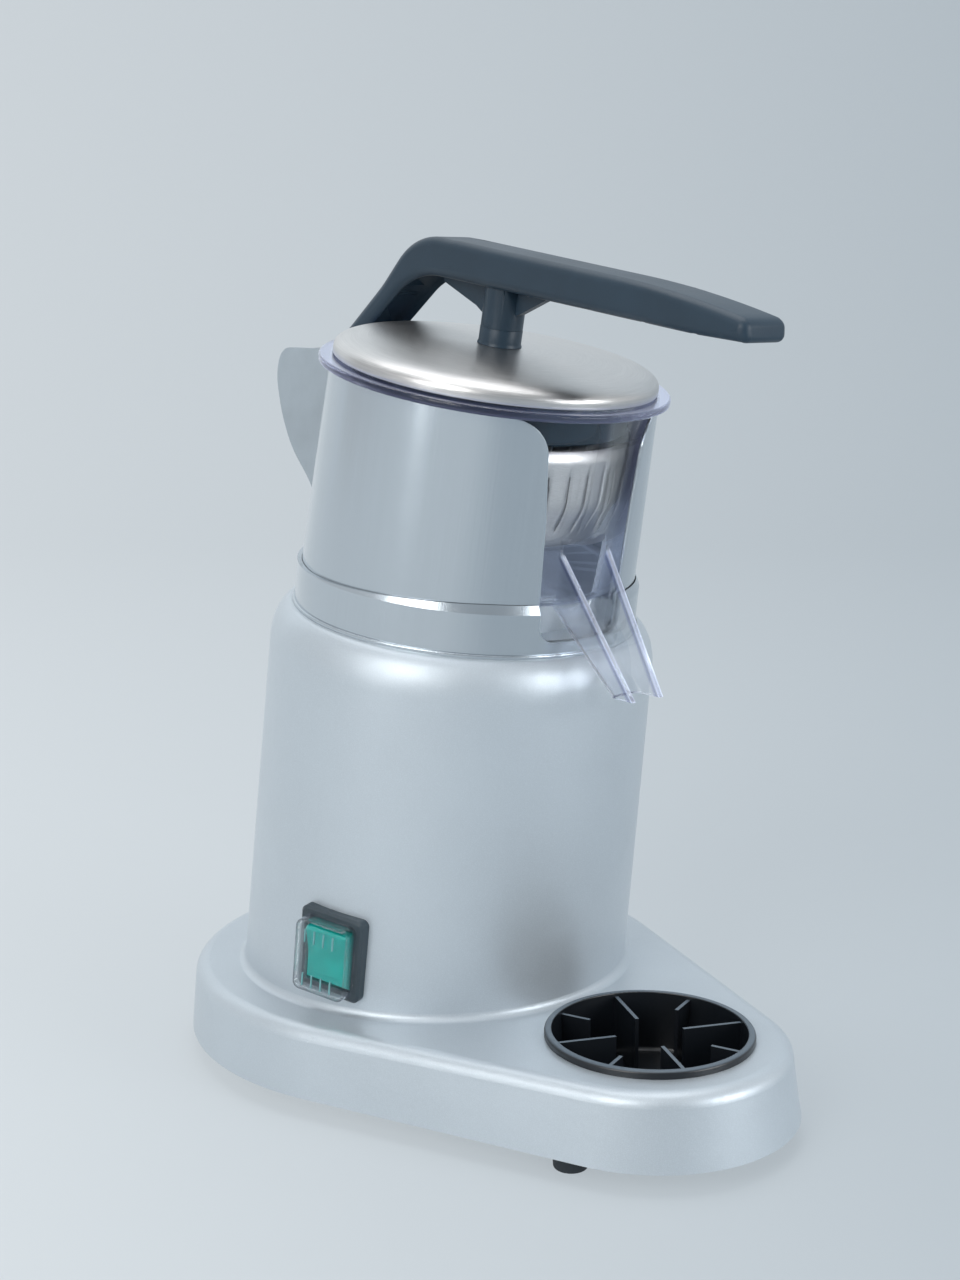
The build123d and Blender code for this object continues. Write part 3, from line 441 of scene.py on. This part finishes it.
def addPiece(name, form, matrix, finish, body, replaced=None):
    mesh = bpy.data.meshes.new(name)
    bmesh.ops.recalc_face_normals(form, faces=form.faces)
    form.transform(matrix)
    form.to_mesh(mesh)
    form.free()
    for polygon in mesh.polygons:
        polygon.use_smooth = True
    piece = bpy.data.objects.new(name, mesh)
    bpy.context.scene.collection.objects.link(piece)
    mesh.materials.append(finish.material)
    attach(piece, body)
    if replaced:
        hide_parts(replaced)
    return piece


# joins corners closer than a few microns, so that no face is left without an area
def dropSlivers(form, near=4e-6):
    bmesh.ops.remove_doubles(form, verts=form.verts, dist=near)
    bmesh.ops.dissolve_degenerate(form, edges=form.edges, dist=near)


def applyModifiers(piece, *modifiers):
    for kind, settings in modifiers:
        made = piece.modifiers.new(kind.lower(), kind)
        for key, value in settings.items():
            setattr(made, key, value)
    graph = bpy.context.evaluated_depsgraph_get()
    mesh = bpy.data.meshes.new_from_object(piece.evaluated_get(graph))
    piece.modifiers.clear()
    form = bmesh.new()
    form.from_mesh(mesh)
    dropSlivers(form)
    form.to_mesh(mesh)
    form.free()
    piece.data = mesh


# rows of points to a sheet of quads; skip(i, j) leaves a quad out
def makeSheet(rows, closed=False, skip=None):
    form = bmesh.new()
    points = [[form.verts.new(point) for point in row] for row in rows]
    count = len(points[0])
    for i in range(len(points) - 1):
        for j in range(count if closed else count - 1):
            if skip and skip(i, j):
                continue
            k = (j + 1) % count
            form.faces.new((points[i][j], points[i][k], points[i + 1][k], points[i + 1][j]))
    loose = [v for v in form.verts if not v.link_faces]
    bmesh.ops.delete(form, geom=loose, context="VERTS")
    return form


# an outline of radius and height, turned round the upright axis
def turnProfile(profile, turns):
    return [[(r * math.sin(t), -r * math.cos(t), z) for t in turns] for r, z in profile]


def evenTurns(columns):
    return [2 * math.pi * j / columns for j in range(columns)]


# splash guard: tapered sleeve whose front opening has wide round corners at the top
guard = {"foot": (0.06915, -0.006), "top": (0.0667, 0.0796), "wall": 0.0012, "corner": 0.0150,
         "columns": 150, "straightRows": 24, "cornerRows": 16,
         "opening": [(-0.006, 0.0212), (0.008, 0.0212), (0.042, 0.0229), (0.0646, 0.0250)],
         "bevel": 0.0003, "bevelFrom": math.radians(55)}


def openingHalf(height):
    s = guard
    cornerLow = s["top"][1] - s["corner"]
    if height > cornerLow:
        rise = min(1.0, (height - cornerLow) / s["corner"])
        return s["opening"][-1][1] + s["corner"] * (1 - math.sqrt(max(0.0, 1 - rise * rise)))
    for (low, half), (high, wide) in zip(s["opening"], s["opening"][1:]):
        if height <= high:
            return half + (wide - half) * (height - low) / (high - low)
    return s["opening"][-1][1]


def makeGuard():
    s = guard
    (footRadius, low), (topRadius, high) = s["foot"], s["top"]
    cornerLow = high - s["corner"]
    straight, corner = s["straightRows"], s["cornerRows"]
    heights = [low + (cornerLow - low) * i / straight for i in range(straight + 1)]
    for i in range(1, corner + 1):
        heights.append(cornerLow + s["corner"] * math.sin(math.radians(90 * i / corner)))
    rows = []
    for height in heights:
        radius = footRadius + (topRadius - footRadius) * (height - low) / (high - low)
        start = math.asin(openingHalf(height) / radius)
        row = []
        for j in range(s["columns"] + 1):
            turn = start + (2 * math.pi - 2 * start) * j / s["columns"]
            row.append((radius * math.sin(turn), -radius * math.cos(turn), height))
        rows.append(row)
    piece = addPiece("splashGuard", makeSheet(rows), axisMatrix(headAxis), sheet, "stand",
                     "splash_guard")
    facing = sum((v.co.x * n.vector.x for v, n in zip(piece.data.vertices, piece.data.vertex_normals)), 0.0)
    applyModifiers(piece, ("SOLIDIFY", {"thickness": s["wall"], "offset": 1.0 if facing < 0 else -1.0}),
                   ("BEVEL", {"width": s["bevel"], "segments": 2, "limit_method": "ANGLE",
                              "angle_limit": s["bevelFrom"]}))


# strainer: straight wall, steep cone below it and flat floor; long slots run over the bend
strainer = {"sheet": 0.0005, "slots": 38, "slotWidth": 0.00065, "slotRadius": 0.0573, "between": 5,
            "turn": math.radians(-16.4), "slotSpan": (0.0325, 0.0555), "floorSlots": (0.024, 0.042),
            "profile": [(0.0133, 0.0225), (0.020, 0.0225), (0.0240, 0.0228), (0.030, 0.0232), (0.036, 0.0235),
                        (0.042, 0.0238), (0.0470, 0.0242), (0.0494, 0.0250), (0.0508, 0.0268),
                        (0.0520, 0.0300), (0.0529, 0.0325), (0.0546, 0.0365), (0.0560, 0.0395),
                        (0.0569, 0.0420), (0.05735, 0.0450), (0.05735, 0.0500), (0.05735, 0.0555),
                        (0.05735, 0.0600), (0.05735, 0.0655)]}


def makeStrainer():
    s = strainer
    pitch = 2 * math.pi / s["slots"]
    half = 0.5 * s["slotWidth"] / s["slotRadius"]
    steps = s["between"]
    turns = []
    for i in range(s["slots"]):
        centre = s["turn"] + i * pitch
        turns += [centre - half, centre + half]
        turns += [centre + half + (pitch - 2 * half) * k / steps for k in range(1, steps)]
    (lowest, highest), (inner, outer) = s["slotSpan"], s["floorSlots"]
    near = 1e-6

    # wall slots all round, and a floor slot below every second one
    def isSlot(i, j):
        (r0, z0), (r1, z1) = s["profile"][i], s["profile"][i + 1]
        slot, column = divmod(j, steps + 1)
        wall = z0 >= lowest - near and z1 <= highest + near
        floor = r0 >= inner - near and r1 <= outer + near and slot % 2 == 0
        return column == 0 and (wall or floor)

    piece = addPiece("strainerBasket", makeSheet(turnProfile(s["profile"], turns), True, isSlot),
                     axisMatrix(headAxis), strainerSteel, "stand", "strainer")
    applyModifiers(piece, ("SOLIDIFY", {"thickness": s["sheet"], "offset": 0.0}))


# lid: pressed sheet with a slightly domed top, a soft rim and an edge that curls in
lid = {"sheet": 0.0012, "columns": 180,
       "profile": [(0.0042, 0.0940), (0.0070, 0.09396), (0.0100, 0.09390), (0.0150, 0.09378),
                   (0.0200, 0.09362), (0.0250, 0.09342), (0.0300, 0.09317), (0.0350, 0.09288),
                   (0.0400, 0.09255), (0.0440, 0.09226), (0.0480, 0.09193), (0.0515, 0.09161),
                   (0.0545, 0.09130), (0.0572, 0.09096), (0.0596, 0.09052), (0.0616, 0.08998),
                   (0.0632, 0.08930), (0.0644, 0.08850), (0.0652, 0.08760), (0.0656, 0.08670),
                   (0.0657, 0.0858), (0.0657, 0.0849), (0.0657, 0.0840), (0.06552, 0.08372),
                   (0.0651, 0.08360)]}


def makeLid():
    s = lid
    form = makeSheet(turnProfile(s["profile"], evenTurns(s["columns"])), True)
    piece = addPiece("lidPressing", form, axisMatrix(headAxis), steel, "lever_arm", "lid")
    upward = piece.data.polygons[0].normal.z > 0
    applyModifiers(piece, ("SOLIDIFY", {"thickness": s["sheet"], "offset": -1.0 if upward else 1.0}))


# boss between lid and post: straight, with a fine joint at its top
boss = {"columns": 64, "sharpFrom": math.radians(35),
        "profile": [(0.0039, 0.0940), (0.0090, 0.0940), (0.0090, 0.0943), (0.0087, 0.0948), (0.0086, 0.0955),
                    (0.0086, 0.1006), (0.0084, 0.1009), (0.0080, 0.1010), (0.0039, 0.1010)]}


def makeBoss():
    s = boss
    closed = s["profile"] + s["profile"][:1]
    form = makeSheet(turnProfile(closed, evenTurns(s["columns"])), True)
    piece = addPiece("bossPost", form, axisMatrix(headAxis), slate, "lever_arm", "lid_boss")
    piece.data.set_sharp_from_angle(angle=s["sharpFrom"])


# lever: the moulding's own form, with a grip that droops in one curve and ribs flush under it
leverGrip = {"from": -0.0745, "tip": -0.2295, "step": 0.0040, "line": (-0.0680, 0.0551, 0.160),
             "bendFrom": -0.165, "curve": 1.17, "ribs": (-0.205, -0.180, -0.150), "ribHalf": 0.0018,
             "ribRise": 0.0012, "ribNear": 0.0003, "ribReach": 0.0102, "under": (-0.0524, 0.0416, 0.1488),
             "sharpFrom": math.radians(28)}


def makeLever():
    s = leverGrip
    form = bmesh.new()
    form.from_mesh(nodes["lever"].data)
    dropSlivers(form)
    y0, z0 = hinge
    cuts, place = [], s["from"]
    while place > s["tip"]:
        geometry = form.verts[:] + form.edges[:] + form.faces[:]
        bmesh.ops.bisect_plane(form, geom=geometry, dist=1e-6,
                               plane_co=(0, y0 + place, z0), plane_no=(0, 1, 0))
        cuts.append(place)
        place -= s["step"]
    tops = [max(v.co.z - z0 for v in form.verts if abs(v.co.y - y0 - cut) < 1e-5) for cut in cuts]
    underY, underZ, slope = s["under"]
    lineY, lineZ, fall = s["line"]
    for vert in form.verts:
        y, z = vert.co.y - y0, vert.co.z - z0
        if y > s["from"]:
            continue
        under = underZ + slope * (y - underY)
        onRib = any(abs(y - rib) < s["ribHalf"] for rib in s["ribs"]) and abs(vert.co.x) < s["ribReach"]
        if onRib and z < under + s["ribNear"]:
            vert.co.z = z0 + under + s["ribRise"]
            continue
        cut = min((s["from"] - y) / s["step"], len(tops) - 1.001)
        top = tops[int(cut)] + (tops[int(cut) + 1] - tops[int(cut)]) * (cut - int(cut))
        along = max(0.0, s["bendFrom"] - y)
        wanted = lineZ - fall * (lineY - y) - s["curve"] * along * along
        share = max(0.0, min(1.0, (z - under) / (top - under)))
        vert.co.z += (wanted - top) * share
    dropSlivers(form)
    piece = addPiece("leverMoulding", form, Matrix.Identity(4), slate, "lever_arm", "lever")
    piece.data.set_sharp_from_angle(angle=s["sharpFrom"])


# soft ridges on the switch boot, to feel it by; a ridge narrows towards its top
bootRidges = {"turn": math.radians(71.5), "radius": 0.08253, "height": 0.0295, "face": 0.0114,
              "size": (0.0007, 0.0058, 0.0005), "layers": ((0.0, 1.0), (0.7, 0.85), (1.0, 0.4)),
              "corners": 16, "across": (-0.0066, -0.0022, 0.0022, 0.0066), "along": (0.0095, -0.0095)}


def addRidge(form, x, y):
    s = bootRidges
    width, length, proud = s["size"]
    count = s["corners"]
    rings = []
    for rise, share in s["layers"]:
        ring = []
        for k in range(count):
            angle = 2 * math.pi * k / count
            cap = math.copysign((length - width) / 2, math.sin(angle)) if abs(math.sin(angle)) > 1e-6 else 0.0
            across = x + width / 2 * share * math.cos(angle)
            along = y + cap + width / 2 * share * math.sin(angle)
            ring.append(form.verts.new((across, along, s["face"] + rise * proud)))
        rings.append(ring)
    for low, high in zip(rings, rings[1:]):
        for k in range(count):
            form.faces.new((low[k], low[(k + 1) % count], high[(k + 1) % count], high[k]))
    form.faces.new(rings[-1])
    form.faces.new(rings[0][::-1])


def makeBootRidges():
    s = bootRidges
    turn = s["turn"]
    outward = Vector((-math.sin(turn), -math.cos(turn), 0.0))
    right = Vector((math.cos(turn), -math.sin(turn), 0.0))
    local = Matrix((right, outward.cross(right), outward)).transposed().to_4x4()
    local.translation = outward * s["radius"] + Vector((0.0, 0.0, s["height"]))
    form = bmesh.new()
    for x in s["across"]:
        for y in s["along"]:
            addRidge(form, x, y)
    addPiece("bootRidges", form, axisMatrix(bodyAxis) @ local, plain["ridgeTealPaintedHighlight"], "stand")


makeGuard()
makeStrainer()
makeLid()
makeBoss()
makeLever()
makeBootRidges()
print("pieces made")

# studio: a pale sweep that shows as a plain background, soft lamps, and a dimmer room behind the camera
studio = {
    "paper": (0.57, 0.615, 0.642),
    "paperRough": 0.9,
    "fibre": 40,
    "fibreTint": (0.99, 1.01),
    "shownLeft": (0.700, 0.748, 0.782),
    "shownRight": (0.455, 0.515, 0.565),
    "shownSpan": (-0.30, 0.26),
    "eyeBehind": 0.8,
    "nearest": 0.5,
    "shown": 0.70,
    "mirrored": 1.0,
    "mirrorLift": 1.35,
    "mirrorLow": 0.10,
    "liftFrom": (0.8, 1.8),
    "turn": math.radians(-41.5),
    "worldHigh": (0.92, 0.96, 1.0),
    "worldRoom": (0.47, 0.52, 0.57),
    "worldSpan": (0.25, 0.80),
    "worldTurn": math.radians(22),
    "worldTilt": -0.25,
    "worldLevel": 0.70,
}


# to the camera and in reflections the sweep glows of itself, darker to the right and lighter high up
def makePaper():
    s = studio
    f = Finish("sweepPaper", {"Roughness": s["paperRough"], "Specular IOR Level": 0.1})
    x, y, z = f.parts(f.place())
    low, high = s["fibreTint"]
    f.set(Base_Color=f.mix(f.noise(s["fibre"], 4.0), tint(s["paper"], low), tint(s["paper"], high)))
    away = y + s["eyeBehind"]
    across = (x / away.maths("MAXIMUM", away, s["nearest"])).between(*s["shownSpan"])
    path = f.node("ShaderNodeLightPath")
    camera, glossy, through = [Amount(f, path.outputs[name])
                               for name in ("Is Camera Ray", "Is Glossy Ray", "Is Transmission Ray")]
    lift = glossy * (s["mirrorLow"] + (s["mirrorLift"] - 1.0) * z.between(*s["liftFrom"]))
    glow = f.node("ShaderNodeEmission", {}, {"Color": f.mix(across, s["shownLeft"], s["shownRight"]),
                                             "Strength": 1.0 + lift})
    share = (camera + through) * s["shown"] + glossy * s["mirrored"]
    mixed = f.node("ShaderNodeMixShader", {}, {0: share, 1: f.shader.outputs[0], 2: glow.outputs[0]})
    f.feed(f.output.inputs["Surface"], mixed.outputs[0])
    return f.material


# floor that bends up into an upright backdrop behind the part
sweepShape = {"front": -3.0, "bendFrom": 1.6, "bend": 1.4, "steps": 12, "top": 5.0, "half": 5.0}


def makeSweep():
    s = sweepShape
    profile = [(s["front"], 0.0), (s["bendFrom"], 0.0)]
    for i in range(1, s["steps"] + 1):
        turn = math.radians(90 * i / s["steps"])
        profile.append((s["bendFrom"] + s["bend"] * math.sin(turn), s["bend"] - s["bend"] * math.cos(turn)))
    profile.append((s["bendFrom"] + s["bend"], s["top"]))
    form = bmesh.new()
    rows = [[form.verts.new((x, y, z)) for x in (-s["half"], s["half"])] for y, z in profile]
    for low, high in zip(rows, rows[1:]):
        form.faces.new((low[0], low[1], high[1], high[0])).smooth = True
    mesh = bpy.data.meshes.new("sweep")
    form.to_mesh(mesh)
    form.free()
    sweep = bpy.data.objects.new("sweep", mesh)
    bpy.context.scene.collection.objects.link(sweep)
    sweep.rotation_euler = (0.0, 0.0, studio["turn"])
    mesh.materials.append(makePaper())


# the world is light to the left and above, and dimmer where the room would be, to the front and right
def makeWorld():
    s = studio
    world = bpy.data.worlds.new("studioWorld")
    bpy.context.scene.world = world
    world.use_nodes = True
    tree = world.node_tree
    background = tree.nodes["Background"]
    background.inputs["Strength"].default_value = s["worldLevel"]
    direction = tree.nodes.new("ShaderNodeTexCoord").outputs["Generated"]
    towards = tree.nodes.new("ShaderNodeVectorMath")
    towards.operation = "DOT_PRODUCT"
    turn = s["turn"] + s["worldTurn"]
    towards.inputs[1].default_value = (math.sin(turn), -math.cos(turn), s["worldTilt"])
    ramp = tree.nodes.new("ShaderNodeValToRGB")
    colours = (s["worldHigh"], s["worldRoom"])
    for element, place, colour in zip(ramp.color_ramp.elements, s["worldSpan"], colours):
        element.position = place
        element.color = (*colour, 1.0)
    tree.links.new(direction, towards.inputs[0])
    tree.links.new(towards.outputs["Value"], ramp.inputs[0])
    tree.links.new(ramp.outputs[0], background.inputs["Color"])


lamps = {
    "keyLeft": {"at": (-2.1, -0.75, 1.35), "to": (0.0, 0.0, 0.2), "size": (0.9, 1.6), "power": 21,
                "colour": (1.0, 0.99, 0.97)},
    "stripLeft": {"at": (-2.0, -0.05, 0.7), "to": (0.0, 0.0, 0.2), "size": (0.22, 1.7), "power": 5,
                  "colour": (1.0, 1.0, 1.0)},
    "fillFront": {"at": (0.8, -2.3, 0.8), "to": (0.0, 0.0, 0.1), "size": (1.3, 1.2), "power": 27,
                  "colour": (0.96, 0.98, 1.0)},
    "topSoft": {"at": (0.1, 0.3, 2.3), "to": (0.0, 0.0, 0.0), "size": (1.8, 1.8), "power": 20,
                "colour": (0.98, 0.99, 1.0)},
}


def makeLamps():
    for name, s in lamps.items():
        data = bpy.data.lights.new(name, "AREA")
        data.shape = "RECTANGLE"
        data.size, data.size_y = s["size"]
        data.energy = s["power"]
        data.color = s["colour"]
        lamp = bpy.data.objects.new(name, data)
        lamp.location = s["at"]
        lamp.rotation_euler = (Vector(s["at"]) - Vector(s["to"])).to_track_quat("Z", "Y").to_euler()
        bpy.context.scene.collection.objects.link(lamp)


view = {"azimuth": math.radians(-41.49), "elevation": math.radians(10.79), "at": (-0.5015, -0.5559, 0.3253),
        "lens": 52.03, "sensor": 36.0, "clip": 0.01}


def makeCamera():
    turn, tilt = view["azimuth"], view["elevation"]
    back = Vector((math.sin(turn) * math.cos(tilt), -math.cos(turn) * math.cos(tilt), math.sin(tilt)))
    right = Vector((math.cos(turn), math.sin(turn), 0.0))
    up = back.cross(right)
    data = bpy.data.cameras.new("camera")
    data.sensor_fit = "VERTICAL"
    data.sensor_height = view["sensor"]
    data.lens = view["lens"]
    data.clip_start = view["clip"]
    camera = bpy.data.objects.new("camera", data)
    camera.matrix_world = Matrix.Translation(view["at"]) @ Matrix((right, up, back)).transposed().to_4x4()
    bpy.context.scene.collection.objects.link(camera)
    bpy.context.scene.camera = camera


makeSweep()
makeWorld()
makeLamps()
makeCamera()
bpy.context.scene.view_settings.view_transform = "Standard"
print("studio ready")
